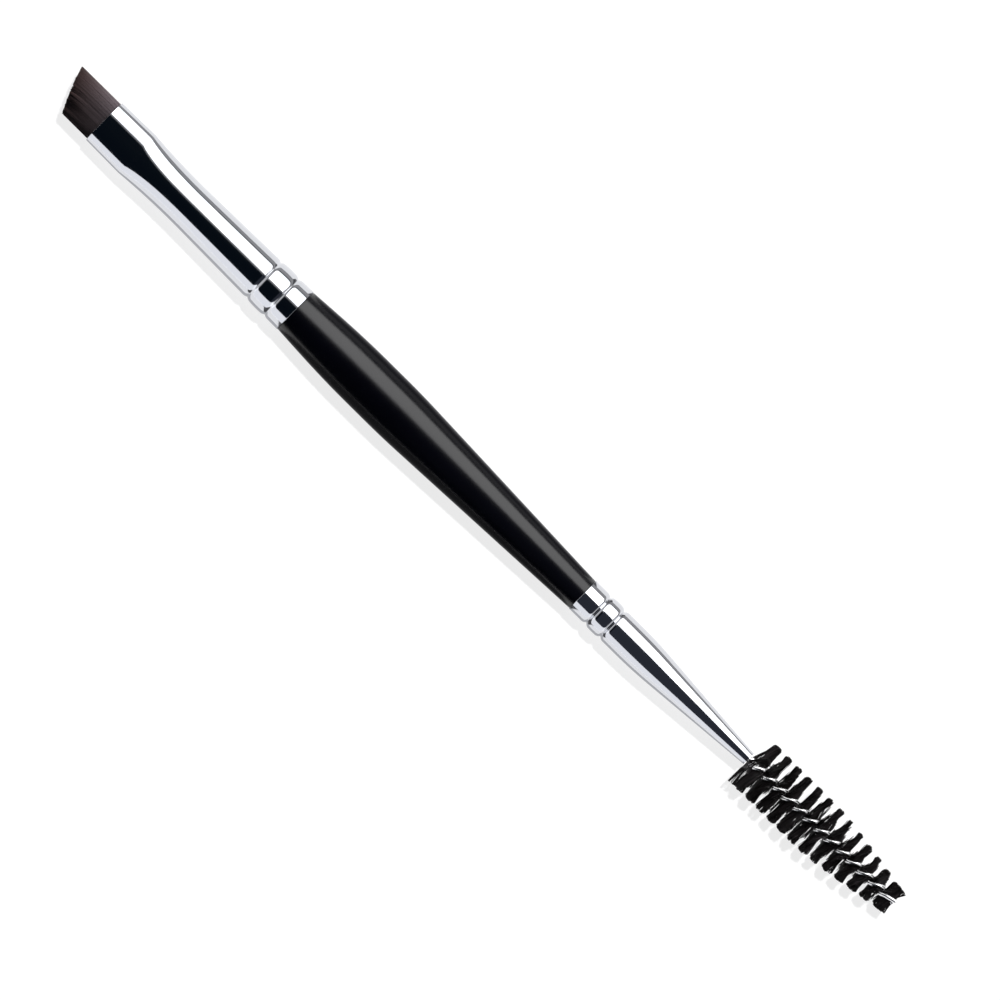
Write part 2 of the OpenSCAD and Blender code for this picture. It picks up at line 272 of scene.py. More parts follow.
def brush_ferrule_r(u):
    """Radius of the brush ferrule with its crimps."""
    s = sizes()
    return tube_r(u) + crimp(u, s.collar_l, s.bead_l, s.bead_h, s.groove_d)


def stem_tip_r():
    """Outer radius of the spoolie ferrule at its tip, which follows the twist inside it."""
    s = sizes()
    return s.wire_d + s.grip_t / 2 + s.stem_gap + s.wall


def stem_ferrule_r(u):
    """Radius of the spoolie ferrule at u from the handle."""
    s = sizes()
    run = (TIP_X - REAR_X) - s.straight_l - s.bend_l / 2
    slope = (s.stem_d / 2 - stem_tip_r()) / run
    drop = eased_drop(u, s.straight_l, s.bend_l, slope)
    rise = crimp(u, s.stem_collar_l, s.stem_bead_l, s.stem_bead_h, s.stem_groove_d)
    return s.stem_d / 2 - drop + rise


def handle_r(u):
    """Radius of the handle's core at u from the brush ferrule."""
    s = sizes()
    front = s.collar_d / 2 - s.joint_step
    rear = s.stem_d / 2 - s.joint_step
    if u < s.swell_l:
        return mix(front, s.belly_d / 2, math.sin(math.pi / 2 * u / s.swell_l))
    run = (REAR_X - FRONT_X) - s.swell_l - s.belly_l - s.fair_l / 2
    return s.belly_d / 2 - eased_drop(u, s.swell_l + s.belly_l, s.fair_l, (s.belly_d / 2 - rear) / run)


def narrowing(d):
    """How far the nose is widened at d from its mouth, from 1 to 0."""
    s = sizes()
    t = min(max((d - s.flat_l) / (s.nose_l - s.flat_l), 0), 1)
    return (1 - t) ** 2


def flatness(d):
    """How far the nose is pressed flat at d from its mouth, from 1 to 0."""
    return narrowing(d) ** 2


def nose_half_sizes(d):
    """Half width and half thickness of the nose at d from the mouth."""
    s = sizes()
    r = tube_r(FRONT_X - MOUTH_X - d)
    half_w = r + narrowing(d) * (s.mouth_w - s.tube_d) / 2
    half_t = r - flatness(d) * (s.tube_d - s.mouth_t) / 2
    return half_w, half_t


# Modelling steps


def deselect_all():
    """Deselects every object, the frame's own too."""
    for obj in bpy.context.view_layer.objects:
        obj.select_set(False)


def only(obj):
    """Makes obj the one selected and active object."""
    deselect_all()
    obj.select_set(True)
    bpy.context.view_layer.objects.active = obj


def turned(name, line, sides):
    """Shell turned about the brush's axis through (x, radius) pairs."""
    x, r = line[0]
    deselect_all()
    bpy.ops.mesh.primitive_circle_add(
        vertices=sides, radius=r, location=(x, 0, AXIS_H), rotation=(0, math.pi / 2, 0))
    obj = bpy.context.object
    obj.name = name
    bpy.ops.object.transform_apply(location=True, rotation=True, scale=True)
    bpy.ops.object.mode_set(mode="EDIT")
    bpy.ops.mesh.select_all(action="SELECT")
    for next_x, next_r in line[1:]:
        bpy.ops.mesh.extrude_edges_move(TRANSFORM_OT_translate={"value": (next_x - x, 0, 0)})
        bpy.ops.transform.resize(
            value=(1, next_r / r, next_r / r), center_override=(next_x, 0, AXIS_H))
        x, r = next_x, next_r
    bpy.ops.mesh.select_all(action="SELECT")
    bpy.ops.mesh.remove_doubles(threshold=WELD)
    bpy.ops.mesh.fill_holes(sides=0)
    bpy.ops.mesh.select_all(action="SELECT")
    bpy.ops.mesh.normals_make_consistent(inside=False)
    bpy.ops.object.mode_set(mode="OBJECT")
    return obj


def press(v, half_w, half_t, flat):
    """Moves a point of a round form to the same place on a flattened one with straight stretches."""
    y, z = v.co.y, v.co.z - AXIS_H
    r = math.hypot(y, z)
    side = 0 if abs(y) < r * 0.001 else math.copysign(1, y)
    v.co.y = side * flat + (half_w - flat) * y / r
    v.co.z = AXIS_H + half_t * z / r


def shade_smooth(obj, degrees=35):
    """Smooth shading that keeps edges sharper than the angle."""
    only(obj)
    bpy.ops.object.shade_smooth_by_angle(angle=math.radians(degrees))


def settle(obj, material, slot, *nodes):
    """Gives a finished piece its material and its body, and hides the nodes that it stands for; slot is not
    used.
    """
    obj.data.materials.clear()
    obj.data.materials.append(material)
    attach(obj, "root")
    if nodes:
        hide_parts(*nodes)


def flatten_nose(obj):
    """Presses the nose of the turned ferrule flat, inner wall and outer wall alike."""
    s = sizes()
    for v in obj.data.vertices:
        d = v.co.x - MOUTH_X
        if d > s.nose_l:
            continue
        inset = tube_r(FRONT_X - MOUTH_X - d) - math.hypot(v.co.y, v.co.z - AXIS_H)
        half_w, half_t = nose_half_sizes(d)
        press(v, half_w - inset, half_t - inset, s.mouth_flat * flatness(d))
    obj.data.update()


def strand_form(sides, parts):
    """One straight strand of unit length and radius, which every filament copies."""
    deselect_all()
    bpy.ops.mesh.primitive_cylinder_add(
        vertices=sides, radius=1, depth=1, location=(0, 0, 0.5), end_fill_type="NGON")
    obj = bpy.context.object
    bpy.ops.object.transform_apply(location=True, rotation=True, scale=True)
    bpy.ops.object.mode_set(mode="EDIT")
    for i in range(1, parts):
        bpy.ops.mesh.select_all(action="SELECT")
        bpy.ops.mesh.bisect(plane_co=(0, 0, i / parts), plane_no=(0, 0, 1))
    bpy.ops.object.mode_set(mode="OBJECT")
    points = np.array([v.co for v in obj.data.vertices])
    faces = [list(face.vertices) for face in obj.data.polygons]
    mesh = obj.data
    bpy.data.objects.remove(obj)
    bpy.data.meshes.remove(mesh)
    return points, faces


def unit(vectors):
    """Vectors of length 1 along the last axis."""
    return vectors / np.linalg.norm(vectors, axis=-1, keepdims=True)


def strands(name, paths, radii, shades, sides):
    """A mesh of strands: each row of paths is one strand's points, with a radius and a shade at each."""
    count, stations = paths.shape[:2]
    points, faces = strand_form(sides, stations - 1)
    ring = np.rint(points[:, 2] * (stations - 1)).astype(int)
    ahead = unit(np.gradient(paths, axis=1))
    # A direction well off the strand's own, to build the ring on
    start = np.where(np.abs(ahead[..., :1]) > 0.7, [0.0, 0.3, 1.0], [1.0, 0.2, 0.3])
    across = unit(start - (start * ahead).sum(-1, keepdims=True) * ahead)
    beside = np.cross(ahead, across)
    places = (
        paths[:, ring]
        + radii[:, ring, None] * (points[:, 0:1] * across[:, ring] + points[:, 1:2] * beside[:, ring])
    )
    size = len(points)
    loops = np.concatenate([np.array(face) for face in faces])
    totals = np.array([len(face) for face in faces])
    starts = np.concatenate([[0], np.cumsum(totals)[:-1]])
    shift = np.arange(count)[:, None]
    mesh = bpy.data.meshes.new(name)
    mesh.vertices.add(count * size)
    mesh.vertices.foreach_set("co", places.astype(np.float32).ravel())
    mesh.loops.add(count * len(loops))
    mesh.loops.foreach_set("vertex_index", (loops + shift * size).astype(np.int32).ravel())
    mesh.polygons.add(count * len(faces))
    mesh.polygons.foreach_set("loop_start", (starts + shift * len(loops)).astype(np.int32).ravel())
    mesh.update(calc_edges=True)
    shade = mesh.attributes.new("shade", "FLOAT", "POINT")
    shade.data.foreach_set("value", shades[:, ring].astype(np.float32).ravel())
    along = mesh.attributes.new("along", "FLOAT", "POINT")
    along.data.foreach_set("value", np.tile(points[:, 2], count).astype(np.float32))
    obj = bpy.data.objects.new(name, mesh)
    bpy.context.collection.objects.link(obj)
    shade_smooth(obj, STRAND_ANGLE)
    return obj


# Finishes


class Nodes:
    """Short ways to add nodes to a tree."""

    def __init__(self, tree):
        self.tree = tree

    def add(self, kind, **values):
        """A node with its properties set."""
        node = self.tree.nodes.new(kind)
        for key, value in values.items():
            setattr(node, key, value)
        return node

    def link(self, start, end):
        """A link between two sockets."""
        self.tree.links.new(start, end)

    def feed(self, value, socket):
        """Gives a socket a link from another one, or a constant."""
        if isinstance(value, bpy.types.NodeSocket):
            self.link(value, socket)
        else:
            socket.default_value = value

    def math(self, operation, *values):
        """A number worked out from others, each a number or a socket."""
        node = self.add("ShaderNodeMath", operation=operation)
        for value, socket in zip(values, node.inputs):
            self.feed(value, socket)
        return node.outputs["Value"]

    def range(self, value, low, high, start=0, stop=1):
        """value between start and stop carried to the range from low to high."""
        node = self.add("ShaderNodeMapRange")
        for key, bound in (("From Min", start), ("From Max", stop), ("To Min", low), ("To Max", high)):
            node.inputs[key].default_value = bound
        self.link(value, node.inputs["Value"])
        return node.outputs["Result"]

    def blend(self, factor, first, second):
        """A colour between first and second, each a colour or a socket."""
        node = self.add("ShaderNodeMix", data_type="RGBA")
        colours = [socket for socket in node.inputs if socket.type == "RGBA"]
        for value, socket in zip((first, second), colours):
            self.feed(value if isinstance(value, bpy.types.NodeSocket) else (*value, 1), socket)
        self.link(factor, node.inputs["Factor"])
        return next(socket for socket in node.outputs if socket.type == "RGBA")


class Finish(Nodes):
    """A new material and short ways to add its nodes."""

    def __init__(self, name):
        self.material = bpy.data.materials.new(name)
        self.material.use_nodes = True
        super().__init__(self.material.node_tree)
        self.shader = self.tree.nodes["Principled BSDF"]

    def place(self, scale):
        """Object coordinates, multiplied by scale."""
        mapping = self.add("ShaderNodeMapping")
        mapping.inputs["Scale"].default_value = scale
        self.link(self.add("ShaderNodeTexCoord").outputs["Object"], mapping.inputs["Vector"])
        return mapping.outputs["Vector"]

    def noise(self, scale, detail=2, stretch=(1, 1, 1)):
        """Noise at scale features per metre."""
        node = self.add("ShaderNodeTexNoise")
        node.inputs["Scale"].default_value = scale
        node.inputs["Detail"].default_value = detail
        self.link(self.place(stretch), node.inputs["Vector"])
        return node.outputs["Fac"]

    def attribute(self, name):
        """A number kept on the piece's points."""
        return self.add("ShaderNodeAttribute", attribute_name=name).outputs["Fac"]

    def colour(self, factor, first, second):
        """Lets the colour run from first to second."""
        self.link(self.blend(factor, first, second), self.shader.inputs["Base Color"])

    def mottle(self, pattern, base, share):
        """Lets the colour wander between base and a share of it."""
        self.colour(pattern, base, [c * share for c in base])

    def gloss(self, pattern, low, high):
        """Lets the roughness wander between low and high."""
        self.link(self.range(pattern, low, high), self.shader.inputs["Roughness"])

    def bump(self, height, strength, distance):
        """Raises the surface by a height pattern."""
        node = self.add("ShaderNodeBump")
        node.inputs["Strength"].default_value = strength
        node.inputs["Distance"].default_value = distance
        self.link(height, node.inputs["Height"])
        self.link(node.outputs["Normal"], self.shader.inputs["Normal"])

    def set(self, **values):
        """Constants of the shader, by socket name with underscores for spaces."""
        for key, value in values.items():
            self.shader.inputs[key.replace("_", " ")].default_value = value


def lacquer_finish():
    """Deep black gloss with a faint unevenness of the brushed-on coat."""
    f = Finish("black_lacquer")
    f.mottle(f.noise(180, 3), finishes().lacquer, 1.8)
    f.gloss(f.noise(900, 4), 0.20, 0.26)
    f.set(IOR=1.5)
    f.bump(f.noise(420, 2, (0.4, 1, 1)), 0.05, 0.02 * MM)
    return f.material


def plating_finish():
    """Bright plate over drawn sheet, with faint polishing marks along the tube."""
    f = Finish("bright_plating")
    f.mottle(f.noise(300, 3), finishes().plating, 0.96)
    f.gloss(f.noise(1500, 3, (0.1, 1, 1)), 0.05, 0.11)
    f.set(Metallic=1.0)
    f.bump(f.noise(2500, 2, (0.04, 1, 1)), 0.03, 0.01 * MM)
    return f.material


def filament_finish():
    """Dark brown synthetic filament, each one its own shade, with painted light in that shade and a painted
    cool sheen towards the mouth.
    """
    f = Finish("tuft_filament")
    c = finishes()
    # From the painted cool sheen at the mouth to the filaments' own light colour at the cut
    light = f.blend(f.attribute("along"), c.filament_cool_sheen, c.filament_light)
    f.colour(f.attribute("shade"), c.filament_dark, light)
    f.gloss(f.attribute("along"), 0.4, 0.5)
    f.set(Specular_IOR_Level=0.3)
    return f.material


def nylon_finish():
    """Black nylon with a soft gloss, each lock its own shade."""
    f = Finish("black_nylon")
    base = finishes().nylon
    shade = f.attribute("shade")
    f.colour(shade, [c * 0.3 for c in base], [c * 7 for c in base])
    f.gloss(shade, 0.42, 0.58)
    f.set(Specular_IOR_Level=0.11)
    return f.material


def wire_finish():
    """Bright drawn wire."""
    f = Finish("bright_wire")
    f.mottle(f.noise(1200, 3), finishes().wire, 0.9)
    f.gloss(f.noise(2600, 3), 0.18, 0.26)
    f.set(Metallic=1.0)
    f.bump(f.noise(5000, 2), 0.05, 0.01 * MM)
    return f.material


def glue_finish():
    """Amber glue with small bubbles."""
    f = Finish("cured_glue")
    f.mottle(f.noise(900, 3), finishes().glue, 0.8)
    f.gloss(f.noise(2000, 2), 0.2, 0.35)
    f.bump(f.noise(1800, 2), 0.2, 0.05 * MM)
    return f.material


# Pieces


def tenon_line(x, direction, radius, stations, tenon_l):
    """Profile of a tenon under its crimped ferrule, from the handle's end at x to its bevelled end."""
    s = sizes()
    inset = s.wall + s.fit_gap
    bevel = 2 * s.wall
    last = radius(tenon_l) - inset
    line = [(u, radius(u) - inset) for u in (0, *stations)]
    line += [(tenon_l - bevel, last), (tenon_l, last - bevel)]
    return [(x + direction * u, r) for u, r in line]


class EYEBROW_BRUSH_OT_handle(bpy.types.Operator):
    """Turn the lacquered handle with its tenons"""

    bl_idname = "eyebrow_brush.handle"
    bl_label = "Handle"

    def execute(self, context):
        s = sizes()
        core_l = REAR_X - FRONT_X
        taper = s.swell_l + s.belly_l + s.fair_l
        quarter = steps(0, math.pi / 2, 5)
        stations = (
            [s.lacquer_r * (1 - math.cos(a)) for a in quarter]
            + steps(s.swell_l / 40, s.swell_l, 30)
            + steps(s.swell_l + s.belly_l, taper, 14)
            + steps(taper, core_l - s.lacquer_r, 16)[1:]
            + [core_l - s.lacquer_r * (1 - math.sin(a)) for a in quarter][1:]
        )

        def edge(u):
            """How far the rounded ends lie below the core at u."""
            near = min(u, core_l - u) / s.lacquer_r
            return 0 if near >= 1 else s.lacquer_r * (1 - math.sqrt(max(0, 1 - (1 - near) ** 2)))

        core = [(FRONT_X + u, handle_r(u) - edge(u)) for u in stations]
        front = tenon_line(
            FRONT_X, -1, brush_ferrule_r, crimp_stations(s.collar_l, s.bead_l), FRONT_X - TENON_FRONT_X)
        rear = tenon_line(
            REAR_X, 1, stem_ferrule_r, crimp_stations(s.stem_collar_l, s.stem_bead_l), TENON_REAR_X - REAR_X)
        obj = turned("handle_lacquered", front[::-1] + core + rear, sides=160)
        shade_smooth(obj)
        settle(obj, lacquer_finish(), "black_lacquer", "handle")
        return {"FINISHED"}


def sheet_line(x, direction, radius, stations, far_edge):
    """Closed outline of a ferrule's sheet: out along the outer face and back along the inner one."""
    s = sizes()
    rim = [(s.rim_r * (1 - math.cos(a)), s.rim_r * (1 - math.sin(a))) for a in steps(0, math.pi / 2, 6)]
    outer = [(u, radius(u) - drop) for u, drop in rim] + [(u, radius(u)) for u in stations]
    last = radius(far_edge)
    edge = [(far_edge - s.lip_r, last), (far_edge, last - s.lip_r)]
    edge += [(x, 2 * last - s.wall - r) for x, r in reversed(edge)]
    inner = [(u, radius(u) - s.wall) for u in reversed([s.rim_r, *stations])]
    line = outer + edge + inner + [(0, radius(0) - s.wall), outer[0]]
    return [(x + direction * u, r) for u, r in line]


class EYEBROW_BRUSH_OT_brush_ferrule(bpy.types.Operator):
    """Draw the brush ferrule, crimp it and press its mouth flat"""

    bl_idname = "eyebrow_brush.brush_ferrule"
    bl_label = "Brush Ferrule"

    def execute(self, context):
        s = sizes()
        ferrule_l = FRONT_X - MOUTH_X
        stations = (
            crimp_stations(s.collar_l, s.bead_l)
            + steps(s.collar_l + s.bead_l + 2 * s.groove_w, ferrule_l - s.nose_l, 6)[1:]
            + steps(ferrule_l - s.nose_l, ferrule_l - s.flat_l, 36)[1:]
            + steps(ferrule_l - s.flat_l, ferrule_l - s.lip_r, 10)[1:-1]
        )
        line = sheet_line(FRONT_X, -1, brush_ferrule_r, stations, ferrule_l)
        obj = turned("brush_ferrule_sheet", line, sides=192)
        flatten_nose(obj)
        shade_smooth(obj)
        settle(obj, plating_finish(), "plated_sheet", "brush_ferrule")
        return {"FINISHED"}


class EYEBROW_BRUSH_OT_spoolie_ferrule(bpy.types.Operator):
    """Draw the spoolie ferrule down to its tip and crimp it"""

    bl_idname = "eyebrow_brush.spoolie_ferrule"
    bl_label = "Spoolie Ferrule"

    def execute(self, context):
        s = sizes()
        ferrule_l = TIP_X - REAR_X
        stations = (
            crimp_stations(s.stem_collar_l, s.stem_bead_l)
            + steps(s.stem_collar_l + s.stem_bead_l + 2 * s.groove_w, s.straight_l, 3)[1:]
            + steps(s.straight_l, s.straight_l + s.bend_l, 16)[1:]
            + steps(s.straight_l + s.bend_l, ferrule_l - s.lip_r, 16)[1:-1]
        )
        line = sheet_line(REAR_X, 1, stem_ferrule_r, stations, ferrule_l)
        obj = turned("spoolie_ferrule_sheet", line, sides=160)
        shade_smooth(obj)
        settle(obj, plating_finish(), "plated_sheet", "spoolie_ferrule")
        return {"FINISHED"}


def cut_reach(y):
    """Reach of the cut edge past the mouth at y across the tuft."""
    s = sizes()
    toe_l = MOUTH_X - TOE_X
    half_w = s.mouth_w / 2 - s.wall - s.fit_gap
    t = np.linspace(0, 1, 65)
    middle = (toe_l + s.heel_l) / 2 + 2 * s.edge_bow
    reach = (1 - t) ** 2 * toe_l + 2 * t * (1 - t) * middle + t**2 * s.heel_l
    across = half_w * (1 - 2 * t)
    return np.interp(y, across[::-1], reach[::-1])


def tuft_half_sizes(d):
    """Half width and half thickness of the tuft at d past the mouth."""
    s = sizes()
    inset = s.wall + s.fit_gap
    t = np.clip(d / (MOUTH_X - TOE_X), 0, 1)
    return s.mouth_w / 2 - inset, mix(s.mouth_t / 2 - inset, s.edge_t / 2, t)


class EYEBROW_BRUSH_OT_tuft(bpy.types.Operator):
    """Set the tuft's filaments in its root and cut them at a slant"""

    bl_idname = "eyebrow_brush.tuft"
    bl_label = "Tuft"

    def execute(self, context):
        self.root()
        self.filaments()
        return {"FINISHED"}

    def root(self):
        """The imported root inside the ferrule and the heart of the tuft, under the filaments."""
        s = sizes()
        inset = s.wall + s.fit_gap
        heart_l = 0.8 * s.heel_l
        line = [(x, tube_r(FRONT_X - x) - inset) for x in steps(ROOT_X, MOUTH_X, 10)]
        line += [(x, line[-1][1]) for x in steps(MOUTH_X, MOUTH_X - heart_l, 8)[1:]]
        obj = turned("tuft_root", line, sides=96)

        # Out of the mouth the heart slims within a millimetre, to leave room for the filaments over it
        narrower, thinner = 0.06, 0.25
        for v in obj.data.vertices:
            d = v.co.x - MOUTH_X
            if d >= 0:
                half_w, half_t = nose_half_sizes(d)
                press(v, half_w - inset, half_t - inset, s.mouth_flat * flatness(d))
                continue
            half_w, half_t = tuft_half_sizes(-d)
            out = min(1, -d / MM)
            press(v, half_w * (1 - narrower * out), half_t * (1 - thinner * out), s.mouth_flat)
            v.co.x = MOUTH_X + d * float(cut_reach(v.co.y)) / s.heel_l
        obj.data.update()
        # The root and the heart take a dark shade, painted shade for the deep filaments seen between the
        # locks
        for name, value in (("shade", 0.05), ("along", 0.5)):
            field = obj.data.attributes.new(name, "FLOAT", "POINT")
            field.data.foreach_set("value", np.full(len(obj.data.vertices), value, np.float32))
        shade_smooth(obj)
        settle(obj, filament_finish(), "tuft_filament")

    def filaments(self):
        """The filaments, which cling together in locks towards the cut edge."""
        s = sizes()
        rng = np.random.default_rng(11)
        half_w = tuft_half_sizes(0)[0]
        layers, locks = 6, 40
        lean_angle = np.radians(8)

        def room(y):
            """Share of the half thickness that the tuft keeps at y across it."""
            past = np.clip((np.abs(y) - s.mouth_flat) / (half_w - s.mouth_flat), 0, 1)
            return np.sqrt(1 - past**2)

        # Where each filament stands, with more of them near both faces
        y = rng.uniform(-half_w, half_w, s.filament_count * 2)
        y = y[rng.uniform(0, 1, len(y)) < room(y)][:s.filament_count]
        count = len(y)
        depth = rng.uniform(-1, 1, count)
        depth = np.sign(depth) * np.abs(depth) ** 0.7

        # The lock that it belongs to, and what sets that lock apart
        layer = np.clip(np.floor((depth + 1) * layers / 2), 0, layers - 1).astype(int)
        lock_w = rng.uniform(0.25, 0.6, (layers, locks)) * MM
        bounds = np.cumsum(lock_w, axis=1) - half_w * 1.1
        lock = np.array([np.searchsorted(bounds[k], v) for k, v in zip(layer, y)])
        within = np.clip(lock, 0, locks - 1)
        middle = bounds[layer, within] - lock_w[layer, within] / 2
        middle = np.clip(middle, -half_w * 0.97, half_w * 0.97)
        cling, sway, rise, recess = rng.uniform(-1, 1, (layers, locks + 1, 4))[layer, lock].T

        # place runs from -1 at the heel to 1 at the toe, where the locks hold together more
        place = y / half_w
        loose = np.clip((0.55 - place) / 0.5, 0.15, 1)
        free = 1 - np.abs(place) ** 4
        gather = (0.52 + 0.25 * cling) * free * loose
        y_end = y + (middle - y) * gather + sway * 0.12 * MM * free * loose
        ragged = np.abs(rng.normal(0, 0.09 * MM, count)) + np.abs(recess) * 0.14 * MM
        reach = cut_reach(y_end) - ragged

        # Its path: a slanted line that bends to its lock near the cut edge
        t = np.array([-0.15, 0, 0.3, 0.52, 0.7, 0.86, 1.0])
        slimness = np.array([1, 1, 1, 0.95, 0.82, 0.66, 0.42])
        grown = np.clip(t, 0, 1)
        bend = grown**4.5
        slant = np.tan(lean_angle) * (1 - place**2) * loose
        root_y = np.clip(y + slant * reach * 0.5, -half_w, half_w)
        path_y = root_y[:, None] + (y_end - root_y)[:, None] * (0.12 * grown + 0.88 * bend)
        d = reach[:, None] * t
        lift = depth[:, None] * tuft_half_sizes(d)[1] * room(path_y)
        lift += rise[:, None] * 0.12 * MM * bend * loose[:, None]
        lift += rng.normal(0, 0.012 * MM, (count, 1)) * grown
        paths = np.stack([MOUTH_X - d, path_y, AXIS_H + lift], axis=-1)
        radii = s.filament_r * slimness * rng.uniform(0.85, 1.1, (count, 1))

        # Its shade: lighter on the toe's side and darker on the heel's side, painted light and shade from
        # the soft boxes on the toe's side, with a painted sheen towards the toe; darker and less even
        # towards the cut, where that sheen fades
        painted_sheen = 0.35 * np.clip(place, 0, 1) ** 2
        shade = 0.42 + 0.36 * place + painted_sheen + rng.normal(0, 0.045, count)
        fade_to_cut = 0.11 + 0.08 * place + painted_sheen
        uneven = 0.36 * sway * loose
        shades = shade[:, None] - fade_to_cut[:, None] * grown**1.2 + uneven[:, None] * grown**3
        obj = strands("tuft_filaments", paths, radii, np.clip(shades, 0, 1), sides=4)
        settle(obj, filament_finish(), "tuft_filament", "bristle_tuft")


def turns(along):
    """Turns of the twist at a distance from the spoolie ferrule's tip."""
    s = sizes()
    spoolie_l = SPOOLIE_END_X - TIP_X
    return along / (s.base_pitch + (s.tip_pitch - s.base_pitch) * along / (2 * spoolie_l))


def stem_turns(along, stem_l):
    """The same for the strands, which run straight out of their bend and turn less at the tip."""
    s = sizes()
    from_bend = along + stem_l
    if from_bend < s.unwind_l:
        unturned = (s.unwind_l**2 - from_bend**2) / (2 * s.unwind_l * s.base_pitch)
        return turns(s.unwind_l - stem_l) - unturned
    past = max(0, along - s.last_side)
    tip_share = 0.4
    return turns(along - past) + past * tip_share / s.tip_pitch


class EYEBROW_BRUSH_OT_wire(bpy.types.Operator):
    """Fold the wire and twist its two strands"""

    bl_idname = "eyebrow_brush.wire"
    bl_label = "Twisted Wire"

    def execute(self, context):
        s = sizes()
        wire_r = s.wire_d / 2
        strand_r = wire_r + s.grip_t / 2
        stem_l = TIP_X - WIRE_BACK_X - strand_r - wire_r
        end = WIRE_END_X - TIP_X - wire_r / 2
        start_turns = turns(s.first_side)
        points_per_turn = 36

        def strand_point(along, side):
            """The middle of a strand, side 1 or -1, at a distance from the ferrule's tip."""
            angle = HAND * math.tau * (stem_turns(along, stem_l) - start_turns) + side * math.pi / 2
            return (TIP_X + along, strand_r * math.cos(angle), AXIS_H + strand_r * math.sin(angle))

        count = int((end + stem_l) / s.base_pitch * points_per_turn)
        out = [strand_point(along, 1) for along in steps(end, -stem_l, count)]
        back = [strand_point(along, -1) for along in steps(-stem_l, end, count)]
        near, far = np.array(out[-1]), np.array(back[0])
        middle = (near + far) / 2
        bend = [
            tuple(middle + math.cos(a) * (near - middle) - np.array([strand_r * math.sin(a), 0, 0]))
            for a in steps(0, math.pi, 16)[1:-1]]
        path = out + bend + back
        curve = bpy.data.curves.new("twisted_wire_pair", "CURVE")
        curve.dimensions = "3D"
        curve.bevel_depth = wire_r
        curve.bevel_resolution = 4
        curve.use_fill_caps = True
        spline = curve.splines.new("POLY")
        spline.points.add(len(path) - 1)
        for point, place in zip(spline.points, path):
            point.co = (*place, 1)
        obj = bpy.data.objects.new("twisted_wire_pair", curve)
        bpy.context.collection.objects.link(obj)
        only(obj)
        bpy.ops.object.convert(target="MESH")
        obj = bpy.context.object
        bpy.ops.object.mode_set(mode="EDIT")
        bpy.ops.mesh.select_all(action="SELECT")
        bpy.ops.mesh.remove_doubles(threshold=WELD)
        bpy.ops.mesh.normals_make_consistent(inside=False)
        bpy.ops.object.mode_set(mode="OBJECT")
        shade_smooth(obj, STRAND_ANGLE)
        settle(obj, wire_finish(), "wire", "twisted_wire")
        return {"FINISHED"}


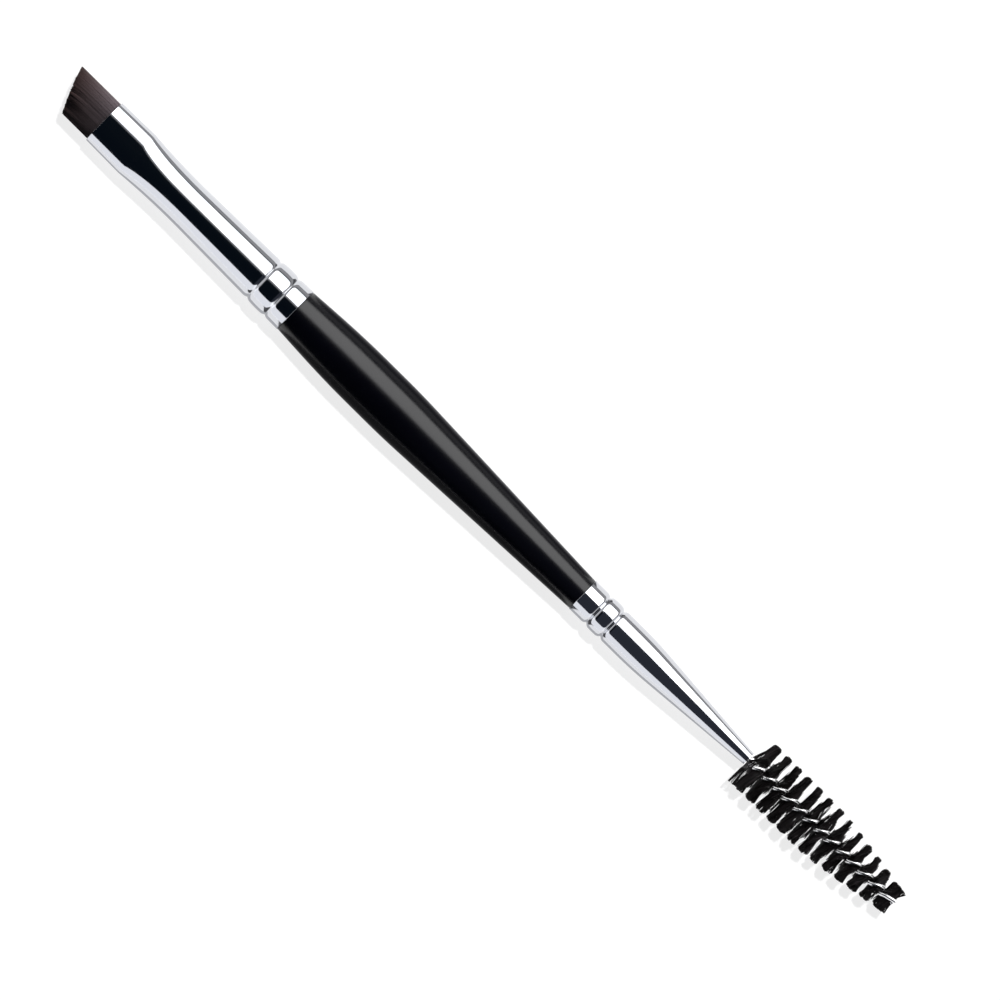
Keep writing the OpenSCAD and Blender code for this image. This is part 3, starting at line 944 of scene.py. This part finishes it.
class EYEBROW_BRUSH_OT_bristles(bpy.types.Operator):
    """Lay the nylon bristles through the twist, where they wind out in two rows"""

    bl_idname = "eyebrow_brush.bristles"
    bl_label = "Spoolie Bristles"

    def execute(self, context):
        s = sizes()
        rng = np.random.default_rng(23)
        spoolie_l = SPOOLIE_END_X - TIP_X
        first, last = 0.3 * MM, spoolie_l - 0.45 * MM
        lock_count = int((last - first) / s.lock_pitch)
        per = s.bristles_per_lock
        count = lock_count * per

        # Each bristle is one strand through the twist, with t from -1 at one end to 1 at the other
        t = np.array([-1, -0.72, -0.4, -0.14, 0.14, 0.4, 0.72, 1])
        flip = np.sign(t)[None, :]

        def halves(lower, upper):
            """A value for each half of each bristle, the lower half first."""
            return np.where(t[None, :] < 0, lower[:, None], upper[:, None])

        def spread(per_lock, per_bristle):
            """A value for each half of each bristle: its lock's, and its own on top."""
            lock = np.repeat(rng.uniform(-1, 1, (lock_count, 2)) * per_lock, per, axis=0)
            both = lock + rng.normal(0, 1, (count, 2)) * per_bristle
            return halves(both[:, 0], both[:, 1])

        # Where it is gripped, and how far it reaches from the axis
        lock_at = np.linspace(first, last, lock_count) + rng.normal(0, 0.03 * MM, lock_count)
        along = np.clip(np.repeat(lock_at, per) + rng.normal(0, 0.045 * MM, count), first, last)
        taper = np.clip((along - s.even_l) / (spoolie_l - s.even_l), 0, None) ** 1.25
        radius = mix(SPOOLIE_D, s.spoolie_tip_d, taper)[:, None] / 2
        neck = s.wire_d + s.grip_t / 2
        reach = np.abs(t)[None, :] * radius
        past = np.clip((reach - neck) / (radius - neck), 0, 1)

        # The place along the twist whose direction each half takes. Near the ferrule the lower halves lie
        # as the first side row does, and every other lock stands on either side of it
        row_l, pair_l = 0.8 * MM, 1.25 * MM
        beside = 0.21 * s.base_pitch
        straight = np.where(along < row_l, s.first_side, np.maximum(along, s.first_side / 2))
        upright = (along < pair_l) & (np.repeat(np.arange(lock_count), per) % 2 == 1)
        lower = np.where(upright, s.first_side + beside, np.clip(straight, 0, s.last_side))
        upper = np.where(upright, s.first_side - beside, np.clip(along, s.first_side, s.last_side))
        twist = math.tau * (turns(halves(lower, upper)) - turns(s.first_side))
        bunched = twist - s.snap * np.sin(2 * twist) * np.minimum(1, 2.5 * past)

        # Its lean along the brush: its lock's place in the row, the row's gather, the fan at the ferrule
        offset = np.clip(spread(0.85, 0.16), -1.05, 1.05)
        lean = offset * (1 - 0.15 * flip * np.cos(twist)) * s.row_w / 2 * past**0.75
        lean -= s.gather * np.sin(2 * bunched) * past
        fan_l = 1.9 * MM
        fanned = np.clip(1 - (along - first) / fan_l, 0, 1)
        lean += halves(0 * fanned, fanned) * s.fan * past
        lean = np.maximum(lean, 0.1 * MM - along[:, None])

        # Its ends, cut unevenly, and its path
        bearing = HAND * bunched + spread(0.04, 0.03) * past
        shorter = (np.abs(spread(0.6, 0.15)) + np.abs(offset) ** 3) * 0.25 * MM
        out = np.clip(reach - shorter * past, 0, None) * flip
        layer = rng.uniform(-1, 1, (count, 1)) * (s.grip_t / 2 - s.bristle_r) * (1 - past)
        path_y = out * np.cos(bearing) - layer * np.sin(bearing)
        path_z = out * np.sin(bearing) + layer * np.cos(bearing)
        paths = np.stack([TIP_X + along[:, None] + lean, path_y, AXIS_H + path_z], axis=-1)
        radii = np.full(paths.shape[:2], s.bristle_r) * rng.uniform(0.85, 1.1, (count, 1))
        lock_shade = np.repeat(np.abs(rng.normal(0.1, 0.25, (lock_count, 1))), per, axis=0)
        shades = np.clip(lock_shade + rng.normal(0.1, 0.12, (count, 1)), 0, 1) * np.ones_like(radii)
        obj = strands("nylon_bristles", paths, radii, shades, sides=3)
        settle(obj, nylon_finish(), "nylon_bristle", "spoolie_bristles")
        return {"FINISHED"}


class EYEBROW_BRUSH_OT_glue(bpy.types.Operator):
    """Finish the glue inside both ferrules"""

    bl_idname = "eyebrow_brush.glue"
    bl_label = "Glue"

    def execute(self, context):
        material = glue_finish()
        for node in ("tuft_glue_plug", "spoolie_glue_plug"):
            for slot in frame["nodes"][node].material_slots:
                slot.material = material
        return {"FINISHED"}


# Stage


WHITE = (1, 1, 1)
SKY = (0.96, 0.97, 1.0)

# Height of the lying cards over the floor
CARD_H = 0.05 * MM


# Distance of the long lamps from the brush, in metres
REACH = 0.6


def panel_lamp(name, low, high, span, radiance, tint=WHITE):
    """A long lamp over the brush between two angles from the zenith, positive towards the toe's side."""
    middle, half = math.radians(low + high) / 2, math.radians(high - low) / 2
    light = bpy.data.lights.new(name, "AREA")
    light.shape = "RECTANGLE"
    light.size = span
    light.size_y = 2 * REACH * math.tan(half)
    light.energy = radiance * math.pi * light.size * light.size_y
    light.color = tint
    lamp = bpy.data.objects.new(name, light)
    lamp.location = (0, REACH * math.sin(middle), AXIS_H + REACH * math.cos(middle))
    lamp.rotation_euler = (-middle, 0, 0)
    lamp.visible_camera = False
    bpy.context.collection.objects.link(lamp)
    return lamp


def sun_lamp(name, strength):
    """A small distant lamp on the toe's side, which draws the shadow's edge."""
    width, tilt = math.radians(3), math.radians(19.5)
    sun = bpy.data.lights.new(name, "SUN")
    sun.energy = strength
    sun.angle = width
    lamp = bpy.data.objects.new(name, sun)
    lamp.rotation_euler = (-tilt, 0, 0)
    lamp.visible_glossy = False
    bpy.context.collection.objects.link(lamp)
    return lamp


def link_light(lamp, role, state, *names):
    """Sets what a lamp lights or what blocks it: INCLUDE only the named objects, or EXCLUDE them."""
    group = bpy.data.collections.new(f"{lamp.name}_{role}s")
    setattr(lamp.light_linking, f"{role}_collection", group)
    for name in names:
        group.objects.link(bpy.data.objects[name])
    for entry in group.collection_objects:
        entry.light_linking.link_state = state


def card(name, place, size, glow, upright=False):
    """A glowing card that only the gloss of the brush sees: a painted reflection, not a lamp."""
    deselect_all()
    bpy.ops.mesh.primitive_plane_add(size=1, location=place)
    obj = bpy.context.object
    obj.name = name
    bpy.ops.transform.resize(value=(*size, 1))
    if upright:
        bpy.ops.transform.rotate(value=math.pi / 2, orient_axis="X", center_override=place)
    bpy.ops.object.transform_apply(location=True, rotation=True, scale=True)
    obj.visible_camera = False
    obj.visible_diffuse = False
    obj.visible_transmission = False
    obj.visible_shadow = False
    f = Finish(name)
    f.link(f.blend(f.noise(20), glow, [c * 0.96 for c in glow]), f.shader.inputs["Emission Color"])
    f.set(Base_Color=(0, 0, 0, 1), Emission_Strength=1.0, Specular_IOR_Level=0.0)
    obj.data.materials.append(f.material)


class EYEBROW_BRUSH_OT_stage(bpy.types.Operator):
    """Lay the pale floor, set the soft lights and stand the camera over the brush"""

    bl_idname = "eyebrow_brush.stage"
    bl_label = "Stage"

    def execute(self, context):
        self.floor()
        self.world()
        self.panels()
        self.cards()
        self.suns()
        self.camera()
        context.scene.view_settings.view_transform = "Standard"
        return {"FINISHED"}

    def floor(self):
        """A pale sheet, white to the camera and in the gloss, that keeps the brush's shadow."""
        deselect_all()
        bpy.ops.mesh.primitive_plane_add(size=6, location=(0, 0, 0))
        floor = bpy.context.object
        floor.name = "pale_floor"
        bpy.ops.object.transform_apply(location=True, rotation=True, scale=True)
        f = Finish("pale_floor")
        rays = f.add("ShaderNodeLightPath").outputs
        mirrored = f.math("MAXIMUM", rays["Is Glossy Ray"], rays["Is Transmission Ray"])
        shown = f.math("MAXIMUM", rays["Is Camera Ray"], mirrored)
        base = finishes().floor
        pale = f.blend(f.noise(8, 2), base, [c * 0.985 for c in base])
        f.link(f.blend(shown, pale, finishes().shown_floor), f.shader.inputs["Base Color"])
        seen_glow, mirrored_glow = 0.775, 0.8
        glow = f.math("MULTIPLY", rays["Is Camera Ray"], seen_glow)
        glow = f.math("MULTIPLY_ADD", mirrored, mirrored_glow, glow)
        f.link(glow, f.shader.inputs["Emission Strength"])
        f.set(Roughness=0.9, Specular_IOR_Level=0.0, Emission_Color=(1, 1, 1, 1))
        floor.data.materials.append(f.material)

    def world(self):
        """A dark studio whose two ends, past the brush's ends, are open to daylight."""
        world = bpy.data.worlds.new("studio")
        world.use_nodes = True
        bpy.context.scene.world = world
        n = Nodes(world.node_tree)

        # parts are those of the direction, so the ends are where X is large and Z isn't
        parts = n.add("ShaderNodeSeparateXYZ")
        n.link(n.add("ShaderNodeTexCoord").outputs["Generated"], parts.inputs["Vector"])
        at_ends = n.range(n.math("ABSOLUTE", parts.outputs["X"]), 0, 1, 0.6, 0.85)
        low_down = n.range(parts.outputs["Z"], 0, 1, 0.75, 0.55)
        sky = n.blend(n.math("MULTIPLY", at_ends, low_down), finishes().studio, finishes().daylight)
        n.link(sky, n.tree.nodes["Background"].inputs["Color"])

    def panels(self):
        """Soft boxes on the toe's side, a pale wall opposite, and a lamp for the wire alone."""
        floor, handle, tuft = ("pale_floor",), ("handle_lacquered",), ("tuft_root", "tuft_filaments")
        for name, low, high, span, radiance, tint, spared in (
            ("soft_box", 21, 74, 1.1, 2.9, WHITE, floor),
            ("soft_box_skirt", 73, 80, 0.9, 1.5, WHITE, handle),
            ("pale_wall", -90.3, -54, 1.6, 1.12, SKY, handle + tuft),
            ("soft_box_edge", 17, 21, 1.1, 0.7, WHITE, floor),
            ("soft_box_rim", 11, 17, 1.1, 0.14, WHITE, floor),
        ):
            link_light(panel_lamp(name, low, high, span, radiance, tint), "receiver", "EXCLUDE", *spared)
        lamp = panel_lamp("wire_lamp", -10, 42, 2.8, 1.1)
        link_light(lamp, "receiver", "INCLUDE", "twisted_wire_pair")
        link_light(lamp, "blocker", "EXCLUDE", "nylon_bristles")

    def cards(self):
        """Painted reflections that only the gloss shows close by: a grey strip, painted shade of the floor
        beside the brush and a slate sheet.
        """
        # A grey strip on the toe's side: a painted reflection, a grey line in the plating's gloss
        low, high = AXIS_H - 4 * MM, AXIS_H + 4.5 * MM
        place = (0, 25 * MM, (low + high) / 2)
        card("grey_card", place, (0.4, high - low), (0.36, 0.36, 0.365), upright=True)

        # Beside the handle, painted reflections of a darker floor: glowing strips that darken outwards to a
        # dark sheet, darker still on the heel's side as painted shade where the brush's shadow falls
        middle, span = (FRONT_X + REAR_X) / 2, REAR_X - FRONT_X
        strip_w, nearest = 1.2, 4.5
        for side in (-1, 1):
            card("dark_card", (middle, side * 0.12, CARD_H), (span, 0.216), (0.1, 0.1, 0.105))
            for i, glow in enumerate((0.75, 0.6, 0.45, 0.33, 0.24, 0.18, 0.13)):
                glow *= 0.7 + 0.3 * side
                place = (middle, side * (nearest + strip_w * i) * MM, CARD_H)
                card("near_card", place, (span, strip_w * MM), (glow, glow, glow * 1.03))

        # Beside the ferrules, on the heel's side only: painted reflections of the floor in the brush's
        # shadow
        for low, high in ((MOUTH_X - 10 * MM, FRONT_X), (REAR_X, TIP_X + 3 * MM)):
            place = ((low + high) / 2, -7.3 * MM, CARD_H)
            card("shade_card", place, (high - low, 7.4 * MM), (0.55, 0.555, 0.57))
        # A dark slate sheet above the spoolie ferrule: a painted dark reflection in its plating
        card("slate_card", (REAR_X + 0.09, -0.06, AXIS_H + 0.12), (0.22, 0.21), (0.028, 0.032, 0.043))

    def suns(self):
        """One small distant lamp for everything, and one that gives the floor its shadow."""
        sun_lamp("edge_lamp", 1.1)
        link_light(sun_lamp("shadow_lamp", 2.2), "receiver", "INCLUDE", "pale_floor")

    def camera(self):
        """A long lens straight above, rolled so that the brush lies as in the photograph."""
        width, roll = 141.27 * MM, math.radians(44.687)
        middle = (2.63 * MM, 1.31 * MM)
        camera = bpy.data.cameras.new("camera")
        camera.lens = 400
        camera.sensor_width = 36
        camera.dof.use_dof = False
        distance = width * camera.lens / camera.sensor_width
        camera.clip_start = distance / 100
        camera.clip_end = distance * 20
        obj = bpy.data.objects.new("camera", camera)
        obj.location = (*middle, AXIS_H + distance)
        obj.rotation_euler = (0, 0, roll)
        bpy.context.collection.objects.link(obj)
        bpy.context.scene.camera = obj


class EYEBROW_BRUSH_PT_panel(bpy.types.Panel):
    """Steps that build the brush"""

    bl_idname = "EYEBROW_BRUSH_PT_panel"
    bl_label = "Eyebrow Brush"
    bl_space_type = "VIEW_3D"
    bl_region_type = "UI"
    bl_category = "Eyebrow Brush"

    def draw(self, context):
        for step in STEPS:
            self.layout.operator(step.bl_idname)


STEPS = (
    EYEBROW_BRUSH_OT_handle,
    EYEBROW_BRUSH_OT_brush_ferrule,
    EYEBROW_BRUSH_OT_spoolie_ferrule,
    EYEBROW_BRUSH_OT_tuft,
    EYEBROW_BRUSH_OT_wire,
    EYEBROW_BRUSH_OT_bristles,
    EYEBROW_BRUSH_OT_glue,
    EYEBROW_BRUSH_OT_stage,
)
CLASSES = (BrushSizes, BrushFinishes, *STEPS, EYEBROW_BRUSH_PT_panel)


def register():
    """Registers the classes and puts the sizes and colours on the scene."""
    for cls in CLASSES:
        bpy.utils.register_class(cls)
    bpy.types.Scene.eyebrow_brush_sizes = PointerProperty(type=BrushSizes)
    bpy.types.Scene.eyebrow_brush_finishes = PointerProperty(type=BrushFinishes)


def unregister():
    """Takes them off again."""
    del bpy.types.Scene.eyebrow_brush_finishes
    del bpy.types.Scene.eyebrow_brush_sizes
    for cls in reversed(CLASSES):
        bpy.utils.unregister_class(cls)


def main():
    """Builds the brush and its stage."""
    register()
    bpy.ops.eyebrow_brush.handle()
    bpy.ops.eyebrow_brush.brush_ferrule()
    bpy.ops.eyebrow_brush.spoolie_ferrule()
    bpy.ops.eyebrow_brush.tuft()
    bpy.ops.eyebrow_brush.wire()
    bpy.ops.eyebrow_brush.bristles()
    bpy.ops.eyebrow_brush.glue()
    bpy.ops.eyebrow_brush.stage()


if __name__ == "__main__":
    main()
